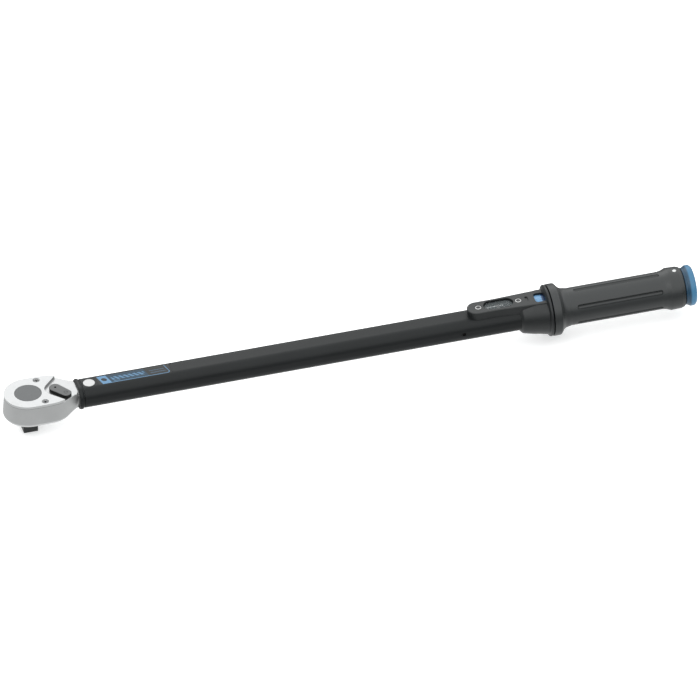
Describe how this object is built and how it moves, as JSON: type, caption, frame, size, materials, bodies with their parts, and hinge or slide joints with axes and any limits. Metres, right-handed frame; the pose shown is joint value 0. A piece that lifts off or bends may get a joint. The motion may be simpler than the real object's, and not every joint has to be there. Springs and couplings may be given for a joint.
{
  "type": "torque wrench",
  "caption": "Click torque wrench with a reversible ratchet head, half-inch drive square, oval tube, windowed scale housing and turning grip with a pull-out lock knob.",
  "frame": {"origin": "centre of the drive square's end face", "axes": "+X along the tool from the drive axis to the lock knob, +Z along the drive axis from the square to the head's cover, +Y across"},
  "size_m": [0.6085, 0.045, 0.049],
  "materials": {
    "satin_chrome": "satin chrome over forged steel",
    "dark_steel": "black phosphated steel",
    "bright_steel": "ground steel",
    "black_coat": "satin black powder coat with fine texture",
    "grey_plastic": "dark grey glass-filled nylon, fine spark texture",
    "blue_plastic": "dark blue moulded plastic",
    "light_blue_plastic": "mid blue moulded plastic",
    "white_mark": "white printed or moulded mark",
    "clear_lens": "clear polycarbonate window",
    "bronze": "oiled bronze bearing metal",
    "black_rubber": "nitrile rubber"
  },
  "bodies": {
    "tube": {"tube": "black_coat", "front_collar": "black_coat", "pivot_pin": "bright_steel", "anti_rotation_pin": "dark_steel", "main_spring": "dark_steel", "end_plug": "bright_steel", "plug_pin": "dark_steel", "thrust_washer_rear": "bright_steel", "bearing_cage": "bronze", "scale_housing": "grey_plastic", "housing_screw_1": "bright_steel", "housing_screw_2": "bright_steel", "scale_lens": "clear_lens", "scale_plate": "white_mark"},
    "head": {"ratchet_head": "satin_chrome", "cover_plate": "satin_chrome", "cover_screw_1": "dark_steel", "cover_screw_2": "dark_steel", "pawl_pin": "bright_steel", "pivot_bush": "bronze", "lever_arm": "dark_steel", "arm_pin": "bright_steel", "wheel_washer": "bronze"},
    "wheel": {"drive_wheel": "dark_steel", "detent_spring": "bright_steel"},
    "ball": {"detent_ball": "bright_steel"},
    "lever": {"reversing_lever": "dark_steel", "pawl_plunger": "bright_steel", "plunger_spring": "bright_steel", "lever_seal": "black_rubber", "lever_circlip": "dark_steel"},
    "pawl": {"pawl": "dark_steel"},
    "tilt": {"tilt_block": "bright_steel"},
    "thrust": {"thrust_plunger": "bright_steel"},
    "carriage": {"carriage_nut": "bright_steel", "scale_pointer": "white_mark", "spring_seat": "bright_steel"},
    "grip": {"grip": "grey_plastic", "index_dot": "white_mark", "micrometer_drum": "light_blue_plastic", "spindle": "bright_steel", "drive_hub": "bright_steel", "spindle_nut": "bright_steel", "thrust_washer_front": "bright_steel"},
    "knob": {"lock_knob": "blue_plastic", "knob_rim": "light_blue_plastic", "knob_cap": "blue_plastic", "knob_screw": "dark_steel", "knob_snap_ring": "bright_steel"}
  },
  "joints": [
    {"name": "head_click", "type": "hinge", "parent": "tube", "child": "head", "pos_m": [0.0536, 0, 0.0265], "axis": [0, 0, 1], "range_deg": [-1.8, 1.8], "stiffness_Nm_per_rad": 40},
    {"name": "drive_spin", "type": "hinge", "parent": "head", "child": "wheel", "pos_m": [0, 0, 0.0265], "axis": [0, 0, 1], "continuous": true},
    {"name": "detent_press", "type": "slide", "parent": "wheel", "child": "ball", "axis": [0, -1, 0], "range_m": [0, 0.0006], "stiffness_N_per_m": 2000, "springref_m": -0.0005, "deforming": ["detent_spring"]},
    {"name": "lever_swing", "type": "hinge", "parent": "head", "child": "lever", "pos_m": [0.024, 0, 0.0365], "axis": [0, 0, 1], "range_deg": [0, 107.4]},
    {"name": "pawl_rock", "type": "hinge", "parent": "head", "child": "pawl", "pos_m": [0.0163, 0, 0.027], "axis": [0, 0, 1], "range_deg": [-4.1, 0]},
    {"name": "block_tilt", "type": "hinge", "parent": "tube", "child": "tilt", "pos_m": [0.163, 0, 0.0265], "axis": [0, 0, 1], "range_deg": [-14.6, 14.6]},
    {"name": "thrust_slide", "type": "slide", "parent": "tube", "child": "thrust", "axis": [1, 0, 0], "range_m": [0, 0.0006], "stiffness_N_per_m": 10000, "springref_m": -0.0005, "deforming": ["main_spring"]},
    {"name": "grip_turn", "type": "hinge", "parent": "tube", "child": "grip", "pos_m": [0.5, 0, 0.0265], "axis": [1, 0, 0], "range_deg": [-1800, 1800]},
    {"name": "carriage_travel", "type": "slide", "parent": "tube", "child": "carriage", "axis": [1, 0, 0], "range_m": [-0.0101, 0.0101], "deforming": ["main_spring"]},
    {"name": "knob_pull", "type": "slide", "parent": "grip", "child": "knob", "axis": [1, 0, 0], "range_m": [0, 0.007]}
  ],
  "couplings": [
    {"joint": "pawl_rock", "follows": "lever_swing", "ratio": -0.03724},
    {"joint": "block_tilt", "follows": "head_click", "ratio": -8},
    {"joint": "carriage_travel", "follows": "grip_turn", "m_per_rad": 0.00031831}
  ]
}
